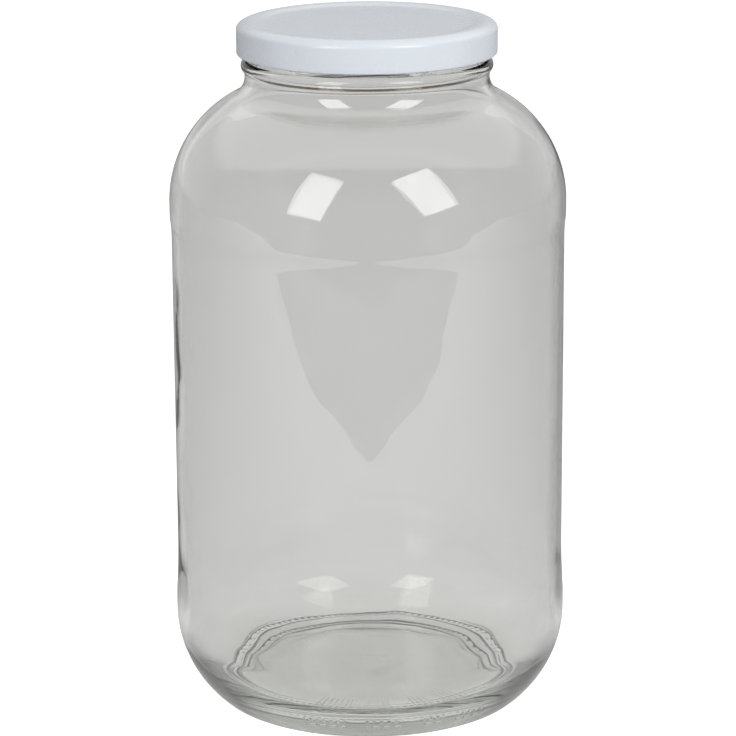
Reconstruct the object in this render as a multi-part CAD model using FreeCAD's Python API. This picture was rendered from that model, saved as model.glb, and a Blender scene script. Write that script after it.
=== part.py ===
import FreeCAD, Part
import math
import os

# A gallon-class glass canning jar, empty and shut with its one-piece steel lug lid.
# Millimetres, +Z up. The origin is the centre of the ring that the jar stands on.
# Every outline is drawn in the X-Z plane, where X is the radius, and spun about Z.

# Side of the jar, outside.
panel_r = 78.45  # straight side, where a label would go
panel_h = 118.0
heel_band_rise = 0.9  # how far the band above the heel stands out from the panel
heel_band_h = 4.0
heel_step_h = 26.0
heel_step_share = 0.2  # share of the step's height that its convex arc takes
shoulder_band_rise = 0.6
shoulder_band_h = 1.5
shoulder_step_h = 20.0
shoulder_step_share = 0.8

# Heel and underside.
heel_arc_r = 45.4  # long rounding from the side towards the underside
heel_h = 36.0  # ring that the jar stands on to the end of that rounding
heel_corner_r = 5.5  # short rounding into the ring
ring_w = 4.6  # flat of the ring
ring_corner_r = 3.0  # rounding from the ring up into the hollow
hollow_edge_h = 3.6  # underside of the base beside the ring
hollow_dome_h = 3.4  # rise of the underside from there to the middle
hollow_flat_r = 14.0  # flat at the middle of the underside

# Shoulder and neck, outside.
shoulder_arc_r = 47.5
neck_arc_r = 8.5
neck_r = 48.4  # narrowest place below the bead
bead_arc_r = 2.8
bead_rise = 1.47  # how far the bead stands out from the neck
bead_h = 4.4  # neck's narrowest place to the middle of the bead

# Glass thickness.
side_wall = 3.0
base_t = 6.0  # at the middle
base_edge_inset = 26.0  # inside of the side wall to the edge of the flat base
base_dome_h = 3.2  # rise of the inside of the base from that edge to the middle
base_flat_r = 10.0  # flat at the middle of the inside

# Mouth, under the lid.
mouth_inset = 0.4  # neck to the outside wall of the mouth
rim_outer_r = 0.9
rim_inner_r = 1.2
ramp_count = 6
ramp_rise = 1.6
ramp_root_h = 2.6  # where a ramp is rooted, inside the wall
ramp_crest_h = 1.6
ramp_deg = 44.0  # how far round each thread ramp reaches
ramp_slope_deg = 7.0
ramp_root = 0.8  # how deep a ramp is rooted in the glass
ramp_turn_deg = -16.0  # middle of the first ramp, anticlockwise from the front of the jar

# Lid.
skirt_clearance = 1.4  # thread ramps to the inside of the skirt
sheet_t = 0.5  # enamelled sheet with its lining
seal_t = 1.0  # sheet and sealing compound over the rim
lid_h = 12.8
lid_gap = 1.96  # top of the bead to the foot of the lid
crown_arc_r = 7.0  # raised edge, seen in section
crown_deg = 55.0  # where the crown's rounding turns into the corner's
skirt_corner_r = 2.2
panel_slope_w = 7.0  # raised edge down to the flat middle
panel_drop = 1.0
seal_inset = 0.5  # sealing compound past the inside of the rim
curl_r = 0.8  # rolled lower edge
lug_reach = 1.2  # past the rolled edge, inwards
lug_t = 1.0
lug_lift = 0.1  # above the foot of the rolled edge
lug_deg = 16.0
lug_turn_deg = 10.0  # middle of a lug from the middle of its ramp, towards the ramp's high end
lug_clearance = 0.3  # lug to the underside of its ramp


def at(r, z):
    return FreeCAD.Vector(r, 0, z)


class Outline:
    """A closed outline in the X-Z plane, drawn from one point to the next."""

    def __init__(self, r, z):
        self.first = at(r, z)
        self.last = self.first
        self.edges = []

    def line(self, r, z):
        target = at(r, z)
        if target.distanceToPoint(self.last) > 1e-6:
            self.edges.append(Part.LineSegment(self.last, target).toShape())
            self.last = target

    def arc(self, r, z, radius, start_deg, end_deg):
        """An arc about (r, z), with a straight line to its start if need be. 0 is outwards, 90 is up."""
        angles = [math.radians(a) for a in (start_deg, (start_deg + end_deg) / 2, end_deg)]
        start, middle, end = [at(r + radius * math.cos(a), z + radius * math.sin(a)) for a in angles]
        self.line(start.x, start.z)
        self.edges.append(Part.Arc(self.last, middle, end).toShape())
        self.last = end

    def step(self, r, z, share):
        """A shallow S of two arcs from the last point up to (r, z), upright at both ends."""
        height = z - self.last.z
        shift = r - self.last.x
        turn = 2 * math.atan(abs(shift) / height)
        turn_deg = math.degrees(turn)
        low_r = share * height / math.sin(turn)
        high_r = (1 - share) * height / math.sin(turn)
        if shift < 0:
            self.arc(self.last.x - low_r, self.last.z, low_r, 0, turn_deg)
            self.arc(r + high_r, z, high_r, 180 + turn_deg, 180)
        else:
            self.arc(self.last.x + low_r, self.last.z, low_r, 180, 180 - turn_deg)
            self.arc(r - high_r, z, high_r, -turn_deg, 0)

    def spun(self, degrees=360.0, start_deg=0.0):
        self.line(self.first.x, self.first.z)
        solid = Part.Face(Part.Wire(self.edges)).revolve(at(0, 0), at(0, 1), degrees)
        solid.rotate(at(0, 0), at(0, 1), start_deg)
        return solid


def deg(rise, run):
    return math.degrees(math.atan2(rise, run))


def dome_arc(half_width, rise):
    """Radius of a shallow dome, and the angle from its top to its edge."""
    radius = (half_width**2 + rise**2) / (2 * rise)
    return radius, math.degrees(math.asin(half_width / radius))


# Heights and radii that follow from the sizes above.
heel_band_r = panel_r + heel_band_rise
shoulder_band_r = panel_r + shoulder_band_rise
heel_band_top = heel_h + heel_band_h
panel_low = heel_band_top + heel_step_h
panel_high = panel_low + panel_h
shoulder_band_low = panel_high + shoulder_step_h
shoulder_low = shoulder_band_low + shoulder_band_h

shoulder_centre_r = shoulder_band_r - shoulder_arc_r
neck_centre_r = neck_r + neck_arc_r
shoulder_run = neck_centre_r - shoulder_centre_r
shoulder_h = math.sqrt((shoulder_arc_r + neck_arc_r) ** 2 - shoulder_run**2)
shoulder_deg = deg(shoulder_h, shoulder_run)
neck_z = shoulder_low + shoulder_h

bead_z = neck_z + bead_h
bead_centre_r = neck_r + bead_rise - bead_arc_r
mouth_r = neck_r - mouth_inset
bead_end_deg = math.degrees(math.acos((mouth_r - bead_centre_r) / bead_arc_r))
bead_top = bead_z + bead_arc_r * math.sin(math.radians(bead_end_deg))
lid_low = bead_top + lid_gap
crown_z = lid_low + lid_h
rim_z = crown_z - seal_t

inside_r = panel_r - side_wall
shoulder_wall = shoulder_band_r - inside_r
bore_r = neck_r - shoulder_wall

base_edge_r = inside_r - base_edge_inset
base_middle_z = hollow_edge_h + hollow_dome_h + base_t
base_edge_z = base_middle_z - base_dome_h

first_ramp_deg = ramp_turn_deg - 90
between_ramps_deg = first_ramp_deg + 180 / ramp_count
ramp_r = mouth_r + ramp_rise
skirt_in_r = ramp_r + skirt_clearance
skirt_r = skirt_in_r + sheet_t
lug_top = lid_low + lug_lift + lug_t
lug_low_side = math.radians(lug_turn_deg - lug_deg / 2) * ramp_r
ramp_low = lug_top + lug_clearance - lug_low_side * math.tan(math.radians(ramp_slope_deg))


def circles_meet(centre_a, radius_a, centre_b, radius_b):
    """The point where two circles meet, of two the one nearer the jar's axis."""
    gap = centre_b - centre_a
    along = (gap.Length**2 + radius_a**2 - radius_b**2) / (2 * gap.Length)
    aside = math.sqrt(radius_a**2 - along**2)
    unit = gap / gap.Length
    left = FreeCAD.Vector(-unit.z, 0, unit.x)
    points = [centre_a + unit * along + left * side for side in (aside, -aside)]
    return min(points, key=lambda p: p.x)


def jar_underside(outline):
    """From the middle of the hollow out to the ring and round the heel to the side."""
    corner_centre_r = heel_band_r - heel_arc_r + math.sqrt(
        (heel_arc_r - heel_corner_r) ** 2 - (heel_h - heel_corner_r) ** 2
    )
    corner_deg = deg(heel_h - heel_corner_r, corner_centre_r - (heel_band_r - heel_arc_r))
    ring_in_r = corner_centre_r - ring_w
    hollow_r = ring_in_r - 2 * ring_corner_r
    dome_r, dome_deg = dome_arc(hollow_r - hollow_flat_r, hollow_dome_h)
    outline.arc(hollow_flat_r, hollow_edge_h + hollow_dome_h - dome_r, dome_r, 90, 90 - dome_deg)
    outline.line(ring_in_r - ring_corner_r, ring_corner_r)
    outline.arc(ring_in_r, ring_corner_r, ring_corner_r, 180, 270)
    outline.arc(corner_centre_r, heel_corner_r, heel_corner_r, 270, 360 - corner_deg)
    outline.arc(heel_band_r - heel_arc_r, heel_h, heel_arc_r, -corner_deg, 0)


def jar_side(outline):
    """Up the band, the panel and the second band."""
    outline.line(heel_band_r, heel_band_top)
    outline.step(panel_r, panel_low, heel_step_share)
    outline.line(panel_r, panel_high)
    outline.step(shoulder_band_r, shoulder_band_low, shoulder_step_share)


def jar_neck(outline):
    """Over the shoulder, into the neck, round the bead and up to the rim."""
    outline.arc(shoulder_centre_r, shoulder_low, shoulder_arc_r, 0, shoulder_deg)
    neck_centre = at(neck_centre_r, neck_z)
    bead_centre = at(bead_centre_r, bead_z)
    crease = circles_meet(neck_centre, neck_arc_r, bead_centre, bead_arc_r)
    crease_deg = deg(crease.z - neck_z, crease.x - neck_centre_r)
    outline.arc(neck_centre_r, neck_z, neck_arc_r, 180 + shoulder_deg, crease_deg)
    bead_low_deg = deg(crease.z - bead_z, crease.x - bead_centre_r)
    outline.arc(bead_centre_r, bead_z, bead_arc_r, bead_low_deg, bead_end_deg)
    outline.arc(mouth_r - rim_outer_r, rim_z - rim_outer_r, rim_outer_r, 0, 90)
    outline.arc(bore_r + rim_inner_r, rim_z - rim_inner_r, rim_inner_r, 90, 180)


def jar_inside(outline):
    """Down the bore, under the shoulder, down the wall and over the base to the axis."""
    outline.arc(neck_centre_r, neck_z, neck_arc_r + shoulder_wall, 180, 180 + shoulder_deg)
    outline.arc(shoulder_centre_r, shoulder_low, shoulder_arc_r - shoulder_wall, shoulder_deg, 0)
    inner_heel_r = inside_r - base_edge_r
    outline.arc(base_edge_r, base_edge_z + inner_heel_r, inner_heel_r, 0, -90)
    dome_r, dome_deg = dome_arc(base_edge_r - base_flat_r, base_dome_h)
    outline.arc(base_flat_r, base_middle_z - dome_r, dome_r, 90 - dome_deg, 90)
    outline.line(0, base_middle_z)


def thread_ramp():
    """One of the short sloping ramps that the lid's lugs draw down on."""
    half_root = ramp_root_h / 2
    half_crest = ramp_crest_h / 2
    section = Outline(mouth_r - ramp_root, -half_root)
    section.line(ramp_r, -half_crest)
    section.line(ramp_r, half_crest)
    section.line(mouth_r - ramp_root, half_root)
    ramp = section.spun(ramp_deg, -ramp_deg / 2)
    ramp.rotate(at(0, 0), at(1, 0), ramp_slope_deg)
    ramp.translate(at(0, ramp_low + half_root))
    return ramp


def round_the_mouth(piece, turn_deg=0.0):
    """One copy of a piece for each ramp, spread evenly, turned from the middles of the ramps."""
    copies = []
    for index in range(ramp_count):
        copy = piece.copy()
        copy.rotate(at(0, 0), at(0, 1), first_ramp_deg + turn_deg + index * 360 / ramp_count)
        copies.append(copy)
    return copies


def jar():
    outline = Outline(0, hollow_edge_h + hollow_dome_h)
    jar_underside(outline)
    jar_side(outline)
    jar_neck(outline)
    jar_inside(outline)
    return outline.spun(start_deg=between_ramps_deg).fuse(round_the_mouth(thread_ramp()))


def lid_outside(outline):
    """From the flat middle up over the raised edge and down the skirt to the curl."""
    crown_to_corner = crown_arc_r - skirt_corner_r
    crown_centre_r = skirt_r - skirt_corner_r - crown_to_corner * math.cos(math.radians(crown_deg))
    corner_z = crown_z - crown_arc_r + crown_to_corner * math.sin(math.radians(crown_deg))
    slope_deg = math.degrees(2 * math.atan(panel_drop / panel_slope_w))
    slope_arc_r = panel_slope_w / 2 / math.sin(math.radians(slope_deg))
    flat_r = crown_centre_r - panel_slope_w
    outline.arc(flat_r, crown_z - panel_drop + slope_arc_r, slope_arc_r, 270, 270 + slope_deg)
    outline.arc(crown_centre_r, crown_z - slope_arc_r, slope_arc_r, 90 + slope_deg, 90)
    outline.arc(crown_centre_r, crown_z - crown_arc_r, crown_arc_r, 90, crown_deg)
    outline.arc(skirt_r - skirt_corner_r, corner_z, skirt_corner_r, crown_deg, 0)
    return crown_centre_r, corner_z, flat_r


def lid_inside(outline, crown_centre_r, corner_z, flat_r):
    """Round the curl, up inside the skirt, over the sealing compound and back to the middle."""
    curl_centre_r = skirt_r - curl_r
    curl_z = lid_low + curl_r
    curl_end_deg = math.degrees(math.acos((skirt_in_r - curl_centre_r) / curl_r))
    outline.arc(curl_centre_r, curl_z, curl_r, 0, -360 + curl_end_deg)
    outline.arc(skirt_r - skirt_corner_r, corner_z, skirt_corner_r - sheet_t, 0, crown_deg)
    inner_arc_r = crown_arc_r - sheet_t
    seal_deg = math.degrees(math.asin((crown_arc_r - seal_t) / inner_arc_r))
    outline.arc(crown_centre_r, crown_z - crown_arc_r, inner_arc_r, crown_deg, seal_deg)
    outline.line(bore_r - seal_inset, rim_z)
    outline.line(flat_r, crown_z - panel_drop - sheet_t)
    outline.line(0, crown_z - panel_drop - sheet_t)


def lug():
    """A tongue pressed inwards from the rolled edge, under a thread ramp."""
    inner_r = skirt_r - 2 * curl_r - lug_reach
    section = Outline(inner_r, lid_low + lug_lift)
    section.line(skirt_r - curl_r, lid_low + lug_lift)
    section.line(skirt_r - curl_r, lug_top)
    section.line(inner_r, lug_top)
    return section.spun(lug_deg, -lug_deg / 2)


def lid():
    outline = Outline(0, crown_z - panel_drop)
    lid_inside(outline, *lid_outside(outline))
    return outline.spun(start_deg=between_ramps_deg).fuse(round_the_mouth(lug(), lug_turn_deg))


def write(name, shape):
    solids = shape.removeSplitter().Solids
    if len(solids) != 1 or not solids[0].isValid():
        raise ValueError(f"{name} is not one valid solid")
    solids[0].exportStep(f"parts/{name}.step")
    litres = solids[0].Volume / 1e6
    print(f"{name}: {litres:.4f} litres of solid")


os.makedirs("parts", exist_ok=True)
write("glass_jar", jar())
write("lid", lid())
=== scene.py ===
import math

import bpy
from mathutils import Matrix, Vector


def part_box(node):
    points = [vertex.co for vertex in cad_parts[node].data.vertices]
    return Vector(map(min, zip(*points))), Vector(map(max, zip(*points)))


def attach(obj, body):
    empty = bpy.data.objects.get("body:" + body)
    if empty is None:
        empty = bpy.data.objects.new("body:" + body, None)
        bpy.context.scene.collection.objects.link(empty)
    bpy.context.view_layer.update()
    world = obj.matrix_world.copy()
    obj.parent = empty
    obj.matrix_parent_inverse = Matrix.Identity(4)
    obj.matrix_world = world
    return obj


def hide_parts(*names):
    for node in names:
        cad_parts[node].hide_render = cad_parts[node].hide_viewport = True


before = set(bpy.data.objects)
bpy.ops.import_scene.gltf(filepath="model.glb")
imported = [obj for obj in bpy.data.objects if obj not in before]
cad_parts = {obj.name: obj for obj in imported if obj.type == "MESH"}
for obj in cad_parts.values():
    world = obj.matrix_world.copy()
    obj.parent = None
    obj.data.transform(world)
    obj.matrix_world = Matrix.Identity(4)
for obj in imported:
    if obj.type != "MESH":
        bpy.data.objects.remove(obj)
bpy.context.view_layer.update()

# A gallon-class glass canning jar, empty and shut with its white lug lid.
# Metres, +Z up, -Y the front. The jar stands on z = 0, and both outlines are spun about Z.

MM = 0.001
jar_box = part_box("glass_jar")
lid_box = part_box("lid")

# Places from the frame.
heel_band_r = jar_box[1].x
rim_z = jar_box[1].z
lid_low = lid_box[0].z
crown_z = lid_box[1].z
skirt_r = lid_box[1].x

# Jar, outside.
panel_r = heel_band_r - 0.9 * MM
heel_h = 36 * MM
heel_band_top = heel_h + 4 * MM
panel_low = heel_band_top + 26 * MM
panel_high = panel_low + 126 * MM
shoulder_band_r = panel_r + 0.6 * MM
shoulder_band_low = panel_high + 9 * MM
shoulder_low = panel_high + 13.5 * MM
heel_arc_r = 45.4 * MM
heel_corner_r = 5.5 * MM
ring_w = 4.6 * MM
ring_corner_r = 3 * MM
hollow_edge_z = 3.6 * MM
hollow_top_z = 7 * MM
hollow_flat_r = 14 * MM
under_base_r = 56 * MM  # within it the glass takes no painted edge shade
shoulder_arc_r = 47.5 * MM
neck_arc_r = 8.5 * MM
neck_r = 48.4 * MM
bead_arc_r = 2.8 * MM
bead_centre_r = neck_r + 1.47 * MM - bead_arc_r
mouth_r = neck_r - 0.4 * MM
rim_outer_r = 0.9 * MM
rim_inner_r = 1.2 * MM

# Jar, inside.
inside_r = panel_r - 3 * MM
shoulder_wall = shoulder_band_r - inside_r
bore_r = neck_r - shoulder_wall
inner_heel_r = 22 * MM
inner_corner_r = 16 * MM
inner_heel_deg = 45
base_edge_z = 9.8 * MM
base_middle_z = 13 * MM
base_flat_r = 10 * MM

# Waves on the inside of the glass, and the height at which they fade out below the neck.
slow_wave, slow_wave_size = 0.5 * MM, 0.045
quick_wave, quick_wave_size = 0.12 * MM, 0.014
wave_top_z = 248 * MM
wave_fade_h = 20 * MM

# Ridges under the ring that the jar stands on.
ridge_in_r = 55.8 * MM
ridge_out_r = 59.5 * MM
ridge_h = 0.9 * MM

# Thread ramps.
ramp_count = 6
ramp_rise = 1.6 * MM
ramp_half_w = 1.15 * MM
ramp_half_deg = 22
ramp_slope_deg = 7
ramp_turn_deg = -16
ramp_middle_z = lid_low + 2.49 * MM

# Lid.
sheet_t = 0.5 * MM
crown_arc_r = 7 * MM
crown_deg = 55
skirt_corner_r = 2.2 * MM
panel_slope_w = 7 * MM
panel_drop = 1 * MM
curl_r = 0.8 * MM
lug_reach = 1.2 * MM
lug_deg = 16
lug_turn_deg = 10
rim_gap = 0.05 * MM

turns = 240  # columns round every spun piece
lamp_in_glass = 5.5  # how much brighter the lamps show in glass than the light they give


def deselect_all():
    if bpy.context.object and bpy.context.object.mode != "OBJECT":
        bpy.ops.object.mode_set(mode="OBJECT")
    bpy.ops.object.select_all(action="DESELECT")


class Pen:
    """Draws one outline in the X-Z plane, where X is the radius, by extruding and spinning its last point."""

    def __init__(self, name, r, z):
        deselect_all()
        bpy.ops.mesh.primitive_plane_add(size=MM, location=(r, 0, z))
        self.piece = bpy.context.object
        self.piece.name = name
        bpy.ops.object.transform_apply()
        bpy.ops.object.mode_set(mode="EDIT")
        bpy.ops.mesh.merge(type="CENTER")
        self.r = r
        self.z = z

    def line(self, r, z, spacing=2 * MM):
        """A straight run, cut into pieces about as long as the spacing."""
        length = math.hypot(r - self.r, z - self.z)
        if length < 1e-7:
            return
        cuts = max(1, round(length / spacing))
        reach = ((r - self.r) / cuts, 0, (z - self.z) / cuts)
        for _ in range(cuts):
            bpy.ops.mesh.extrude_region_move(TRANSFORM_OT_translate={"value": reach})
        self.r = r
        self.z = z

    def arc(self, r, z, radius, start_deg, end_deg, spacing=1 * MM):
        """An arc about (r, z), with a straight line to its start if need be. 0 is outwards, 90 is up."""
        start = math.radians(start_deg)
        end = math.radians(end_deg)
        self.line(r + radius * math.cos(start), z + radius * math.sin(start))
        steps = max(2, round(radius * abs(end - start) / spacing))
        axis = (0, 1, 0) if end > start else (0, -1, 0)
        bpy.ops.mesh.spin(steps=steps, angle=abs(end - start), center=(r, 0, z), axis=axis)
        self.r = r + radius * math.cos(end)
        self.z = z + radius * math.sin(end)

    def step(self, r, z, share, spacing):
        """A shallow S of two arcs up to (r, z), upright at both ends."""
        height = z - self.z
        shift = r - self.r
        turn = 2 * math.atan(abs(shift) / height)
        turn_deg = math.degrees(turn)
        low_r = share * height / math.sin(turn)
        high_r = (1 - share) * height / math.sin(turn)
        if shift < 0:
            self.arc(self.r - low_r, self.z, low_r, 0, turn_deg, spacing)
            self.arc(r + high_r, z, high_r, 180 + turn_deg, 180, spacing)
        else:
            self.arc(self.r + low_r, self.z, low_r, 180, 180 - turn_deg, spacing)
            self.arc(r - high_r, z, high_r, -turn_deg, 0, spacing)

    def spin(self):
        """Spins the outline about Z into a closed skin with its faces outwards."""
        bpy.ops.mesh.select_all(action="SELECT")
        bpy.ops.mesh.spin(steps=turns, angle=math.tau, center=(0, 0, 0), axis=(0, 0, 1), use_auto_merge=True)
        bpy.ops.mesh.select_all(action="SELECT")
        bpy.ops.mesh.remove_doubles(threshold=0.002 * MM)
        bpy.ops.mesh.normals_make_consistent(inside=False)
        bpy.ops.object.mode_set(mode="OBJECT")
        return self.piece


def deg(rise, run):
    return math.degrees(math.atan2(rise, run))


def dome_arc(half_width, rise):
    """Radius of a shallow dome, and the angle from its top to its edge."""
    radius = (half_width**2 + rise**2) / (2 * rise)
    return radius, math.degrees(math.asin(half_width / radius))


def arcs_cross(centre_a, radius_a, centre_b, radius_b):
    """Where two circles cross, of two places the one nearer the jar's axis."""
    gap = Vector(centre_b) - Vector(centre_a)
    along = (gap.length_squared + radius_a**2 - radius_b**2) / (2 * gap.length)
    aside = math.sqrt(radius_a**2 - along**2)
    unit = gap.normalized()
    left = Vector((-unit.y, unit.x))
    places = [Vector(centre_a) + unit * along + left * side for side in (aside, -aside)]
    return min(places, key=lambda place: place.x)


def jar_underside(pen):
    """From the middle of the hollow out to the ring and round the heel to the side."""
    corner_run = math.sqrt((heel_arc_r - heel_corner_r) ** 2 - (heel_h - heel_corner_r) ** 2)
    corner_deg = deg(heel_h - heel_corner_r, corner_run)
    corner_centre_r = heel_band_r - heel_arc_r + corner_run
    ring_in_r = corner_centre_r - ring_w
    dome_r, dome_deg = dome_arc(ring_in_r - 2 * ring_corner_r - hollow_flat_r, hollow_top_z - hollow_edge_z)
    pen.line(hollow_flat_r, hollow_top_z, 1 * MM)
    pen.arc(hollow_flat_r, hollow_top_z - dome_r, dome_r, 90, 90 - dome_deg, 2.5 * MM)
    pen.line(ring_in_r - ring_corner_r, ring_corner_r, 1 * MM)
    pen.arc(ring_in_r, ring_corner_r, ring_corner_r, 180, 270, 0.8 * MM)
    pen.line(corner_centre_r, 0, 0.8 * MM)
    pen.arc(corner_centre_r, heel_corner_r, heel_corner_r, 270, 360 - corner_deg, 0.8 * MM)
    pen.arc(heel_band_r - heel_arc_r, heel_h, heel_arc_r, -corner_deg, 0, 1.2 * MM)


def jar_side(pen):
    """Up the band, the panel and the second band."""
    pen.line(heel_band_r, heel_band_top)
    pen.step(panel_r, panel_low, 0.2, 2.6 * MM)
    pen.line(panel_r, panel_high, 8 * MM)
    pen.step(shoulder_band_r, shoulder_band_low, 0.7, 1.2 * MM)
    pen.line(shoulder_band_r, shoulder_low)


def jar_neck(pen):
    """Over the shoulder, into the neck, round the bead and up over the rim. Gives the shoulder's turn."""
    shoulder_centre_r = shoulder_band_r - shoulder_arc_r
    neck_centre_r = neck_r + neck_arc_r
    run = neck_centre_r - shoulder_centre_r
    neck_z = shoulder_low + math.sqrt((shoulder_arc_r + neck_arc_r) ** 2 - run**2)
    shoulder_deg = deg(neck_z - shoulder_low, run)
    pen.arc(shoulder_centre_r, shoulder_low, shoulder_arc_r, 0, shoulder_deg, 1.6 * MM)
    bead_z = neck_z + 4.4 * MM
    crease = arcs_cross((neck_centre_r, neck_z), neck_arc_r, (bead_centre_r, bead_z), bead_arc_r)
    crease_deg = deg(crease.y - neck_z, crease.x - neck_centre_r)
    pen.arc(neck_centre_r, neck_z, neck_arc_r, 180 + shoulder_deg, crease_deg, 0.8 * MM)
    bead_low_deg = deg(crease.y - bead_z, crease.x - bead_centre_r)
    bead_end_deg = math.degrees(math.acos((mouth_r - bead_centre_r) / bead_arc_r))
    pen.arc(bead_centre_r, bead_z, bead_arc_r, bead_low_deg, bead_end_deg, 0.5 * MM)
    pen.line(mouth_r, rim_z - rim_outer_r, 0.65 * MM)
    pen.arc(mouth_r - rim_outer_r, rim_z - rim_outer_r, rim_outer_r, 0, 90, 0.35 * MM)
    pen.arc(bore_r + rim_inner_r, rim_z - rim_inner_r, rim_inner_r, 90, 180, 0.4 * MM)
    return shoulder_centre_r, neck_centre_r, neck_z, shoulder_deg


def jar_inside(pen, shoulder_centre_r, neck_centre_r, neck_z, shoulder_deg):
    """Down the bore, under the shoulder, down the wall and over the base to the axis."""
    pen.arc(neck_centre_r, neck_z, neck_arc_r + shoulder_wall, 180, 180 + shoulder_deg, 1.2 * MM)
    pen.arc(shoulder_centre_r, shoulder_low, shoulder_arc_r - shoulder_wall, shoulder_deg, 0, 1.8 * MM)
    heel_to_corner = inner_heel_r - inner_corner_r
    base_edge_r = inside_r - inner_heel_r + heel_to_corner * math.cos(math.radians(inner_heel_deg))
    inner_corner_z = base_edge_z + inner_corner_r
    inner_heel_z = inner_corner_z + heel_to_corner * math.sin(math.radians(inner_heel_deg))
    pen.line(inside_r, inner_heel_z, 3.2 * MM)
    pen.arc(inside_r - inner_heel_r, inner_heel_z, inner_heel_r, 0, -inner_heel_deg, 1.3 * MM)
    pen.arc(base_edge_r, inner_corner_z, inner_corner_r, -inner_heel_deg, -90, 1.3 * MM)
    dome_r, dome_deg = dome_arc(base_edge_r - base_flat_r, base_middle_z - base_edge_z)
    pen.arc(base_flat_r, base_middle_z - dome_r, dome_r, 90 - dome_deg, 90, 2 * MM)
    pen.line(0, base_middle_z, 2 * MM)


def front_deg(co):
    """How far round a point lies, anticlockwise from the front."""
    return math.degrees(math.atan2(co.x, -co.y))


def weigh(piece, name, weight):
    """A vertex group with the weight that a function gives for each point's radius, height and turn."""
    group = piece.vertex_groups.new(name=name)
    for vertex in piece.data.vertices:
        share = weight(math.hypot(vertex.co.x, vertex.co.y), vertex.co.z, front_deg(vertex.co), vertex.normal)
        if share > 0:
            group.add([vertex.index], share, "REPLACE")


def push_out(piece, group, distance, texture=None, direction="NORMAL", place=None):
    """Moves the points of a vertex group by a displacement that is then applied."""
    bpy.context.view_layer.objects.active = piece
    push = piece.modifiers.new(group, "DISPLACE")
    push.vertex_group = group
    push.strength = distance
    push.mid_level = 0.5 if texture else 0
    push.direction = direction
    if texture:
        push.texture = texture
        push.texture_coords = "OBJECT"
        push.texture_coords_object = place
    bpy.ops.object.modifier_apply(modifier=push.name)


def ramp_share(r, z, turn, normal):
    """1 on the crest of a thread ramp, falling to 0 at its flanks."""
    if abs(r - mouth_r) > 0.05 * MM or z < lid_low - 2 * MM:
        return 0
    pitch = 360 / ramp_count
    aside = (turn - ramp_turn_deg + pitch / 2) % pitch - pitch / 2
    rise = mouth_r * math.sin(math.radians(aside)) * math.tan(math.radians(ramp_slope_deg))
    flank = (ramp_half_w - abs(z - ramp_middle_z - rise)) / (0.5 * MM)
    end = (ramp_half_deg - abs(aside)) / 1.2
    return max(0, min(1, flank, end))


def faces_in(r, z, turn, normal):
    """True on the inside of the jar's wall and base."""
    if z < 9 * MM or r > inside_r + 0.5 * MM:
        return False
    outwards = normal.x * math.sin(math.radians(turn)) - normal.y * math.cos(math.radians(turn))
    return outwards < -0.02 or (outwards < 0.02 and normal.z > 0.5)


def inner_share(r, z, turn, normal):
    """1 on the inside of the jar's wall and base, fading out below the mouth."""
    return max(0, min(1, (wave_top_z - z) / wave_fade_h)) if faces_in(r, z, turn, normal) else 0


def clouds(name, size, depth):
    texture = bpy.data.textures.new(name, "CLOUDS")
    texture.noise_scale = size
    texture.noise_depth = depth
    return texture


def raise_ring_ridges(jar):
    """Short radial ridges under the ring that the jar stands on, made by lifting every other column."""
    def ridge(r, z, turn, normal):
        column = round(turn / 360 * turns)
        return 1 if column % 2 and z < 0.01 * MM and ridge_in_r < r < ridge_out_r else 0
    weigh(jar, "ring_ridges", ridge)
    push_out(jar, "ring_ridges", ridge_h, direction="Z")


def wave_inside(jar):
    """Slow and quick waves on the inside, as blown glass has, laid askew so that left and right differ."""
    weigh(jar, "inner_wall", inner_share)
    deselect_all()
    bpy.ops.object.empty_add(location=(0.31, 0.17, 0.06), rotation=(0.4, 0.3, 0.9))
    askew = bpy.context.object
    push_out(jar, "inner_wall", slow_wave, clouds("slow_wave", slow_wave_size, 1), place=askew)
    push_out(jar, "inner_wall", quick_wave, clouds("quick_wave", quick_wave_size, 1), place=askew)
    bpy.ops.object.select_all(action="DESELECT")
    askew.select_set(True)
    bpy.ops.object.delete()


def make_jar():
    pen = Pen("jar_glass", 0, hollow_top_z)
    jar_underside(pen)
    jar_side(pen)
    jar_inside(pen, *jar_neck(pen))
    jar = pen.spin()
    weigh(jar, "ramps", ramp_share)
    push_out(jar, "ramps", ramp_rise)
    raise_ring_ridges(jar)
    wave_inside(jar)
    jar.vertex_groups.clear()
    return jar


def mark_outside(jar):
    """Keeps on each point whether it is on the outside and off the underside, for the glass's painted edge
    shade to read.
    """
    outside = jar.data.attributes.new("outside", "FLOAT", "POINT")
    for vertex, mark in zip(jar.data.vertices, outside.data):
        r = math.hypot(vertex.co.x, vertex.co.y)
        inside = faces_in(r, vertex.co.z, front_deg(vertex.co), vertex.normal)
        under_base = r < under_base_r and vertex.co.z < panel_low
        mark.value = 0 if inside or under_base else 1


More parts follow.
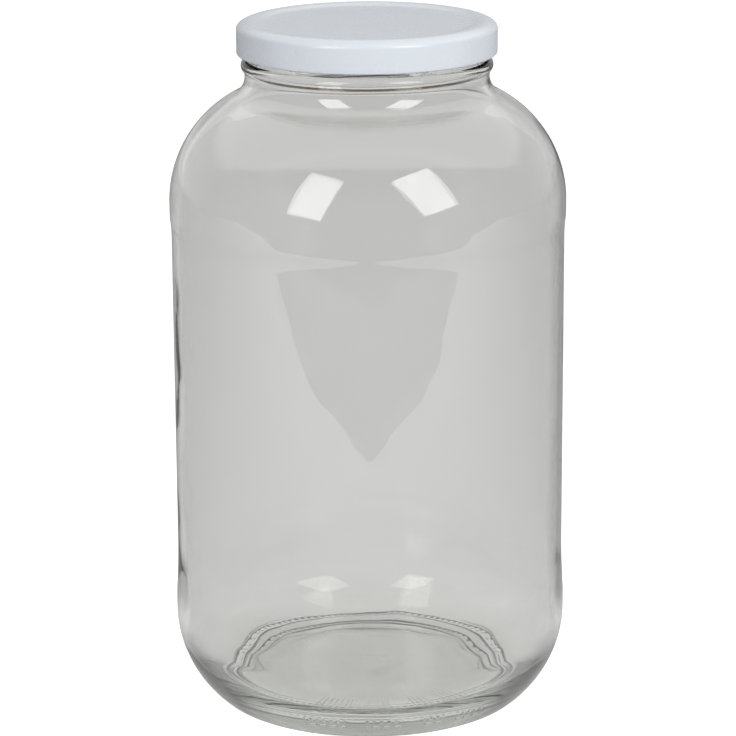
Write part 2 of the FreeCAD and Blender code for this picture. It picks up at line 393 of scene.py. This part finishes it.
def lid_outside(pen):
    """From the flat middle up over the raised edge and down the skirt to the curl."""
    crown_to_corner = crown_arc_r - skirt_corner_r
    crown_centre_r = skirt_r - skirt_corner_r - crown_to_corner * math.cos(math.radians(crown_deg))
    corner_z = crown_z - crown_arc_r + crown_to_corner * math.sin(math.radians(crown_deg))
    slope_deg = math.degrees(2 * math.atan(panel_drop / panel_slope_w))
    slope_arc_r = panel_slope_w / 2 / math.sin(math.radians(slope_deg))
    flat_r = crown_centre_r - panel_slope_w
    pen.line(flat_r, crown_z - panel_drop, 4 * MM)
    pen.arc(flat_r, crown_z - panel_drop + slope_arc_r, slope_arc_r, 270, 270 + slope_deg, 0.7 * MM)
    pen.arc(crown_centre_r, crown_z - slope_arc_r, slope_arc_r, 90 + slope_deg, 90, 0.7 * MM)
    pen.arc(crown_centre_r, crown_z - crown_arc_r, crown_arc_r, 90, crown_deg, 0.45 * MM)
    pen.arc(skirt_r - skirt_corner_r, corner_z, skirt_corner_r, crown_deg, 0, 0.3 * MM)
    return crown_centre_r, corner_z, flat_r


def lid_inside(pen, crown_centre_r, corner_z, flat_r):
    """Round the curl, up inside the skirt, over the sealing compound and back to the middle."""
    seal_z = rim_z + rim_gap
    curl_end_deg = math.degrees(math.acos((curl_r - sheet_t) / curl_r))
    pen.line(skirt_r, lid_low + curl_r, 1.2 * MM)
    pen.arc(skirt_r - curl_r, lid_low + curl_r, curl_r, 0, -360 + curl_end_deg, 0.25 * MM)
    pen.arc(skirt_r - skirt_corner_r, corner_z, skirt_corner_r - sheet_t, 0, crown_deg, 0.4 * MM)
    inner_arc_r = crown_arc_r - sheet_t
    seal_deg = math.degrees(math.asin((seal_z - crown_z + crown_arc_r) / inner_arc_r))
    pen.arc(crown_centre_r, crown_z - crown_arc_r, inner_arc_r, crown_deg, seal_deg, 0.4 * MM)
    pen.line(bore_r - 0.5 * MM, seal_z, 1 * MM)
    pen.line(flat_r, crown_z - panel_drop - sheet_t, 1 * MM)
    pen.line(0, crown_z - panel_drop - sheet_t, 4 * MM)


def pull_in_lugs(lid):
    """Presses the lugs inwards from the rolled edge."""
    reach = 1 - lug_reach / (skirt_r - 2 * curl_r)
    pitch = 360 / ramp_count
    for face in lid.data.polygons:
        centre = face.center
        r = math.hypot(centre.x, centre.y)
        aside = (front_deg(centre) - ramp_turn_deg - lug_turn_deg + pitch / 2) % pitch - pitch / 2
        low = lid_low + 0.1 * MM < centre.z < lid_low + 1.15 * MM
        face.select = r < skirt_r - 1.4 * curl_r and low and abs(aside) < lug_deg / 2
    bpy.ops.object.mode_set(mode="EDIT")
    bpy.ops.mesh.select_mode(type="FACE")
    bpy.ops.mesh.extrude_region()
    bpy.ops.transform.resize(value=(reach, reach, 1), center_override=(0, 0, 0))
    bpy.ops.mesh.select_mode(type="VERT")
    bpy.ops.object.mode_set(mode="OBJECT")


def make_lid():
    pen = Pen("lid_enamelled", 0, crown_z - panel_drop)
    lid_inside(pen, *lid_outside(pen))
    lid = pen.spin()
    for part in (lid.data.vertices, lid.data.edges, lid.data.polygons):
        for item in part:
            item.select = False
    pull_in_lugs(lid)
    return lid


def smooth(piece, limit_deg):
    deselect_all()
    piece.select_set(True)
    bpy.context.view_layer.objects.active = piece
    bpy.ops.object.shade_smooth_by_angle(angle=math.radians(limit_deg))


class Nodes:
    """A material's node tree, with short ways to add nodes and join them."""

    def __init__(self, material):
        material.use_nodes = True
        self.tree = material.node_tree
        self.tree.nodes.clear()

    def add(self, kind, **values):
        """A node with values for its settings, and for its sockets, where _ stands for a space."""
        node = self.tree.nodes.new(kind)
        for key, value in values.items():
            name = key.replace("_", " ")
            if name in node.inputs:
                self.set(node.inputs[name], value)
            else:
                setattr(node, key, value)
        return node

    def set(self, socket, value):
        if isinstance(value, bpy.types.NodeSocket):
            self.tree.links.new(value, socket)
        else:
            socket.default_value = value

    def math(self, operation, *values):
        node = self.add("ShaderNodeMath", operation=operation)
        for socket, value in zip(node.inputs, values):
            self.set(socket, value)
        return node.outputs[0]

    def scale(self, value, low, high, to_low, to_high):
        """A value mapped from one span to another, and held at its ends."""
        ends = dict(From_Min=low, From_Max=high, To_Min=to_low, To_Max=to_high)
        return self.add("ShaderNodeMapRange", Value=value, **ends).outputs[0]

    def blend(self, share, first, second):
        """A colour between two colours."""
        node = self.add("ShaderNodeMix", data_type="RGBA")
        self.set(node.inputs[0], share)
        self.set(node.inputs[6], first)
        self.set(node.inputs[7], second)
        return node.outputs[2]

    def place(self):
        """The X, Y and Z of the piece's own place, in metres."""
        place = self.add("ShaderNodeTexCoord").outputs["Object"]
        return self.add("ShaderNodeSeparateXYZ", Vector=place).outputs

    def times(self, *shares):
        """Shares multiplied together."""
        product = shares[0]
        for share in shares[1:]:
            product = self.math("MULTIPLY", product, share)
        return product

    def largest(self, *values):
        largest = values[0]
        for value in values[1:]:
            largest = self.math("MAXIMUM", largest, value)
        return largest

    def noise(self, size, detail=2.0, stretch=(1, 1, 1)):
        """Noise on the piece's own place, with patches about as wide as the size, in metres."""
        place = self.add("ShaderNodeTexCoord").outputs["Object"]
        mapped = self.add("ShaderNodeMapping", Vector=place, Scale=stretch).outputs[0]
        node = self.add("ShaderNodeTexNoise", Vector=mapped, Scale=1 / size, Detail=detail)
        return node.outputs["Fac"]

    def bump(self, height, distance, strength=1.0, under=None):
        node = self.add("ShaderNodeBump", Height=height, Distance=distance, Strength=strength)
        if under:
            self.set(node.inputs["Normal"], under)
        return node.outputs[0]

    def finish(self, shader, volume=None):
        node = self.add("ShaderNodeOutputMaterial")
        self.set(node.inputs["Surface"], shader)
        if volume:
            self.set(node.inputs["Volume"], volume)


def grey(level):
    return (level, level, level, 1)


def within(nodes, value, low, high, soft):
    """1 between two values, falling to 0 over a short stretch at each end."""
    rise = nodes.scale(value, low, low + soft, 0, 1)
    fall = nodes.scale(value, high - soft, high, 1, 0)
    return nodes.math("MULTIPLY", rise, fall)


def repeats(nodes, value, pitch, share, soft):
    """1 on marks that repeat at a pitch and fill a share of it."""
    phase = nodes.math("FRACT", nodes.math("DIVIDE", value, pitch))
    return within(nodes, phase, 0.5 - share / 2, 0.5 + share / 2, soft)


def pressed_marks(nodes):
    """Plain dashes and pips, in groups round the front of the heel and across the middle of the hollow."""
    x, y, z = nodes.place()
    turn = nodes.math("DEGREES", nodes.math("ARCTAN2", x, nodes.math("MULTIPLY", y, -1)))
    spans_deg = ((-22, -8), (-2, 10), (17, 24), (29, 39))
    groups = nodes.largest(*(within(nodes, turn, start, end, 0.3) for start, end in spans_deg))
    dashes = nodes.times(repeats(nodes, turn, 3.5, 0.7, 0.08), within(nodes, z, 6.4 * MM, 7.9 * MM, 0.4 * MM))
    pips = nodes.times(repeats(nodes, turn, 2.3, 0.55, 0.15), within(nodes, z, 9.4 * MM, 10.9 * MM, 0.4 * MM))
    in_front = nodes.math("LESS_THAN", y, -40 * MM)
    heel = nodes.times(groups, in_front, nodes.largest(dashes, pips))
    across = nodes.times(within(nodes, x, -4.5 * MM, 7.5 * MM, 0.3 * MM), repeats(nodes, x, 3 * MM, 0.66, 0.1))
    middle = nodes.times(across, within(nodes, y, -0.6 * MM, 0.8 * MM, 0.3 * MM))
    in_hollow = nodes.math("LESS_THAN", z, 8 * MM)
    return nodes.math("ADD", heel, nodes.times(middle, in_hollow))


def glass_tint_and_painted_shade(nodes):
    """A faint grey cast, darker grey in the base, with painted shade where the outside is seen edge-on: a dark
    band along each side, wider on the right, and dark crescents at the left and right of the heel.
    """
    x, y, z = nodes.place()
    r = nodes.math("SQRT", nodes.math("ADD", nodes.math("MULTIPLY", x, x), nodes.math("MULTIPLY", y, y)))
    # Masks for the painted shade below: the heel crescents lie beside the middle, and the side band widens to
    # the right.
    beside = nodes.scale(nodes.math("ABSOLUTE", x), 0.034, 0.052, 0, 1)
    side_shade_rightwards = nodes.scale(x, -0.07, 0.07, -0.06, 0.11)
    above_heel = nodes.scale(z, 0.035, 0.045, 0, 1)
    below_band = nodes.scale(z, 0.024, 0.036, 1, 0)
    facing = nodes.add("ShaderNodeLayerWeight", Blend=0.5).outputs["Facing"]
    outside = nodes.add("ShaderNodeAttribute", attribute_name="outside").outputs["Fac"]

    tint_and_shade = nodes.blend(nodes.noise(0.05), (0.80, 0.80, 0.79, 1), (0.82, 0.82, 0.81, 1))
    base = nodes.times(nodes.scale(r, 0.048, 0.056, 1, 0), nodes.scale(z, 0.015, 0.02, 1, 0))
    tint_and_shade = nodes.blend(base, tint_and_shade, (0.685, 0.685, 0.67, 1))
    # Painted shade: greyer where the outside is seen edge-on, above the heel.
    painted_edge_on_shade = nodes.times(outside, above_heel, nodes.scale(facing, 0.2, 0.7, 0, 1))
    tint_and_shade = nodes.blend(painted_edge_on_shade, tint_and_shade, (0.73, 0.73, 0.72, 1))
    # Painted shade: a dark band along both edges of the side, wider on the right.
    painted_side_shade = nodes.scale(nodes.math("ADD", facing, side_shade_rightwards), 0.74, 0.90, 0, 1)
    tint_and_shade = nodes.blend(nodes.times(outside, above_heel, painted_side_shade), tint_and_shade, grey(0.24))
    # Painted shade: dark crescents on edge-on glass at the left and right of the heel.
    painted_heel_shade = nodes.scale(facing, 0.38, 0.66, 0, 1)
    return nodes.blend(nodes.times(outside, beside, below_band, painted_heel_shade), tint_and_shade, grey(0.09))


def clear_glass():
    """Clear soda-lime glass, slightly wavy, with shade painted on its edge-on outside, that lets the lamps'
    light through.
    """
    material = bpy.data.materials.new("clear_glass")
    nodes = Nodes(material)
    specks = nodes.scale(nodes.noise(0.012), 0.62, 0.8, 0.0, 0.02)
    wave = nodes.bump(nodes.noise(0.03, 1.0, (1, 1, 0.6)), 0.4 * MM)
    marked = nodes.bump(pressed_marks(nodes), 0.6 * MM, under=wave)
    glass = nodes.add(
        "ShaderNodeBsdfPrincipled",
        # The base colour holds the glass's grey cast and its painted edge shade.
        Base_Color=glass_tint_and_painted_shade(nodes),
        Roughness=specks,
        IOR=1.5,
        Transmission_Weight=1.0,
        Normal=marked,
    ).outputs[0]
    lets_lamps_through = nodes.add("ShaderNodeBsdfTransparent", Color=(0.9, 0.905, 0.895, 1)).outputs[0]
    shadow = nodes.add("ShaderNodeLightPath").outputs["Is Shadow Ray"]
    mixed = nodes.add("ShaderNodeMixShader")
    nodes.set(mixed.inputs[0], shadow)
    nodes.set(mixed.inputs[1], glass)
    nodes.set(mixed.inputs[2], lets_lamps_through)
    deep = nodes.add("ShaderNodeVolumeAbsorption", Color=(0.5, 0.52, 0.48, 1), Density=12).outputs[0]
    nodes.finish(mixed.outputs[0], deep)
    return material


def white_enamel():
    """Gloss white enamel, very slightly uneven, with faint scuffs."""
    material = bpy.data.materials.new("white_enamel")
    nodes = Nodes(material)
    mottle = nodes.blend(nodes.noise(0.012), (0.614, 0.652, 0.698, 1), (0.622, 0.660, 0.706, 1))
    scuffs = nodes.scale(nodes.noise(0.006, 6, (1, 0.25, 1)), 0.68, 0.78, 0, 0.3)
    colour = nodes.blend(scuffs, mottle, (0.58, 0.61, 0.64, 1))
    roughness = nodes.scale(nodes.noise(0.01, 3), 0.3, 0.7, 0.24, 0.29)
    peel = nodes.bump(nodes.noise(0.025, 1.0), 0.00002)
    shader = nodes.add(
        "ShaderNodeBsdfPrincipled", Base_Color=colour, Roughness=roughness, Normal=peel, IOR=1.5
    ).outputs[0]
    nodes.finish(shader)
    return material


def tan_lacquer():
    """Tan lacquer on the inside of the lid, with the sheet's shine under it."""
    material = bpy.data.materials.new("tan_lacquer")
    nodes = Nodes(material)
    colour = nodes.blend(nodes.noise(0.01, 4), (0.50, 0.36, 0.19, 1), (0.58, 0.44, 0.25, 1))
    roughness = nodes.scale(nodes.noise(0.004, 4), 0.3, 0.7, 0.28, 0.42)
    shader = nodes.add(
        "ShaderNodeBsdfPrincipled", Base_Color=colour, Roughness=roughness, Metallic=0.35
    ).outputs[0]
    nodes.finish(shader)
    return material


def line_lid(lid, lacquer):
    """Gives the faces on the lid's inside the lacquer."""
    lid.data.materials.append(lacquer)
    for face in lid.data.polygons:
        centre = face.center
        r = math.hypot(centre.x, centre.y)
        inwards = face.normal.x * centre.x + face.normal.y * centre.y < -0.2 * r
        under_skirt = r < skirt_r - 0.25 * MM and inwards and centre.z < crown_z - 1.2 * MM
        below = face.normal.z < -0.3 and r < skirt_r - curl_r and centre.z > lid_low + 0.3 * MM
        tongue = r < skirt_r - 1.95 * curl_r and centre.z < lid_low + 2 * MM
        if under_skirt or below or tongue:
            face.material_index = 1


def make_floor():
    """A pale table whose front edge has a shallow notch, and ends a little way in front of the jar."""
    front, back, half_w = -0.525, 3.5, 3.0
    notch_half_w, notch_deep = 0.21, 0.055
    deselect_all()
    bpy.ops.mesh.primitive_plane_add(size=1, location=(0, (front + back) / 2, -0.4 * MM))
    floor = bpy.context.object
    floor.name = "floor"
    floor.scale = (2 * half_w, back - front, 1)
    bpy.ops.object.transform_apply()
    bpy.ops.object.mode_set(mode="EDIT")
    for x in (-notch_half_w, 0, notch_half_w):
        bpy.ops.mesh.select_all(action="SELECT")
        bpy.ops.mesh.bisect(plane_co=(x, 0, 0), plane_no=(1, 0, 0))
    bpy.ops.mesh.select_all(action="DESELECT")
    bpy.ops.object.mode_set(mode="OBJECT")
    for corner in floor.data.vertices:
        corner.select = corner.co.y < front + 0.01 and abs(corner.co.x) < 0.01
    bpy.ops.object.mode_set(mode="EDIT")
    bpy.ops.transform.translate(value=(0, notch_deep, 0))
    bpy.ops.object.mode_set(mode="OBJECT")
    floor.data.materials.append(pale_floor())
    return floor


def pale_floor():
    """White to the camera, with soft shadows. Glass shows it dimmer, and mirrors see its front well lit."""
    material = bpy.data.materials.new("pale_floor")
    nodes = Nodes(material)
    path = nodes.add("ShaderNodeLightPath").outputs
    mirrored = path["Is Glossy Ray"]
    through = path["Is Transmission Ray"]
    paper = nodes.blend(nodes.noise(0.2), grey(0.80), grey(0.81))
    seen = nodes.blend(nodes.largest(mirrored, through), paper, grey(0.35))
    matt = nodes.add("ShaderNodeBsdfDiffuse", Color=seen).outputs[0]
    front_lit = nodes.scale(nodes.place()[1], -0.45, 0.15, 1.05, 0.05)
    level = nodes.largest(
        nodes.math("MULTIPLY", path["Is Camera Ray"], 0.66),
        nodes.math("MULTIPLY", through, 0.605),
        nodes.math("MULTIPLY", mirrored, front_lit),
    )
    glow = nodes.add("ShaderNodeEmission", Strength=level).outputs[0]
    added = nodes.add("ShaderNodeAddShader")
    nodes.set(added.inputs[0], matt)
    nodes.set(added.inputs[1], glow)
    nodes.finish(added.outputs[0])
    return material


def light_room():
    """White to the camera. Mirrors see a dark room with a pale ceiling and a pale wall behind the jar."""
    world = bpy.data.worlds.new("room")
    bpy.context.scene.world = world
    world.use_nodes = True
    nodes = Nodes(world)
    way = nodes.add("ShaderNodeSeparateXYZ", Vector=nodes.add("ShaderNodeTexCoord").outputs["Generated"])
    x, y, z = way.outputs
    path = nodes.add("ShaderNodeLightPath").outputs
    rising_to_back = nodes.scale(nodes.math("MULTIPLY_ADD", y, 0.6, z), 0.48, 0.56, 0.0, 1.2)
    ceiling = nodes.times(rising_to_back, nodes.scale(z, 0.3, 0.45, 0, 1))
    wall = nodes.scale(y, 0.2, 0.6, 0.1, 0.55)
    mirrored = nodes.times(path["Is Glossy Ray"], nodes.largest(ceiling, wall))
    through = nodes.times(path["Is Transmission Ray"], nodes.scale(z, 0.46, 0.54, 1.0, 0.6))
    from_side = nodes.scale(x, -0.8, 0.8, 0.15, 0.85)
    from_above = nodes.scale(z, 0.3, 0.9, 0, 0.18)
    lit = nodes.times(path["Is Diffuse Ray"], nodes.math("ADD", from_side, from_above))
    level = nodes.largest(path["Is Camera Ray"], mirrored, through, lit)
    background = nodes.add("ShaderNodeBackground", Color=grey(1), Strength=level).outputs[0]
    node = nodes.add("ShaderNodeOutputWorld")
    nodes.set(node.inputs["Surface"], background)


def add_softbox(name, centre, size, roll_deg, brightness):
    """A tall soft lamp that faces the jar. Brightness is what its face gives off; glass shows it brighter."""
    bpy.ops.object.light_add(type="AREA", location=centre)
    lamp = bpy.context.object
    lamp.name = name
    lamp.data.shape = "RECTANGLE"
    lamp.data.size, lamp.data.size_y = size
    lamp.data.energy = brightness * math.pi * size[0] * size[1]
    aim = Vector((0, 0, 0.2)) - Vector(centre)
    turn = aim.to_track_quat("-Z", "Y").to_matrix().to_4x4()
    lamp.matrix_world = (
        Matrix.Translation(Vector(centre))
        @ turn
        @ Matrix.Rotation(math.radians(roll_deg), 4, "Z")
    )
    lamp.visible_camera = False
    nodes = Nodes(lamp.data)
    path = nodes.add("ShaderNodeLightPath").outputs
    in_glass = nodes.largest(path["Is Glossy Ray"], path["Is Transmission Ray"])
    glow = nodes.add("ShaderNodeEmission", Strength=nodes.scale(in_glass, 0, 1, 1, lamp_in_glass)).outputs[0]
    node = nodes.add("ShaderNodeOutputLight")
    nodes.set(node.inputs["Surface"], glow)


def light_jar():
    add_softbox("left_softbox", (-0.485, -0.748, 0.653), (0.37, 0.69), -10, 4.8)
    add_softbox("right_softbox", (0.524, -0.690, 0.699), (0.39, 0.63), 16, 4.8)


def add_camera():
    deselect_all()
    turn = (math.radians(74.714), math.radians(0.32), math.radians(-0.087))
    bpy.ops.object.camera_add(location=(-0.0003, -1.287, 0.48713), rotation=turn)
    camera = bpy.context.object
    camera.data.lens = 161.4
    camera.data.sensor_width = 36
    bpy.context.scene.camera = camera


def main():
    jar = make_jar()
    mark_outside(jar)
    jar.data.materials.append(clear_glass())
    smooth(jar, 35)
    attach(jar, "root")
    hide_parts("glass_jar")

    lid = make_lid()
    lid.data.materials.append(white_enamel())
    line_lid(lid, tan_lacquer())
    smooth(lid, 40)
    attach(lid, "root")
    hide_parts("lid")

    make_floor()
    light_room()
    light_jar()
    add_camera()
    scene = bpy.context.scene
    scene.view_settings.view_transform = "Standard"
    # Light turns back many times inside the thick heel, so the usual bounce limits would leave it black.
    scene.cycles.glossy_bounces = 16
    scene.cycles.transmission_bounces = 24
    scene.cycles.max_bounces = 32


main()
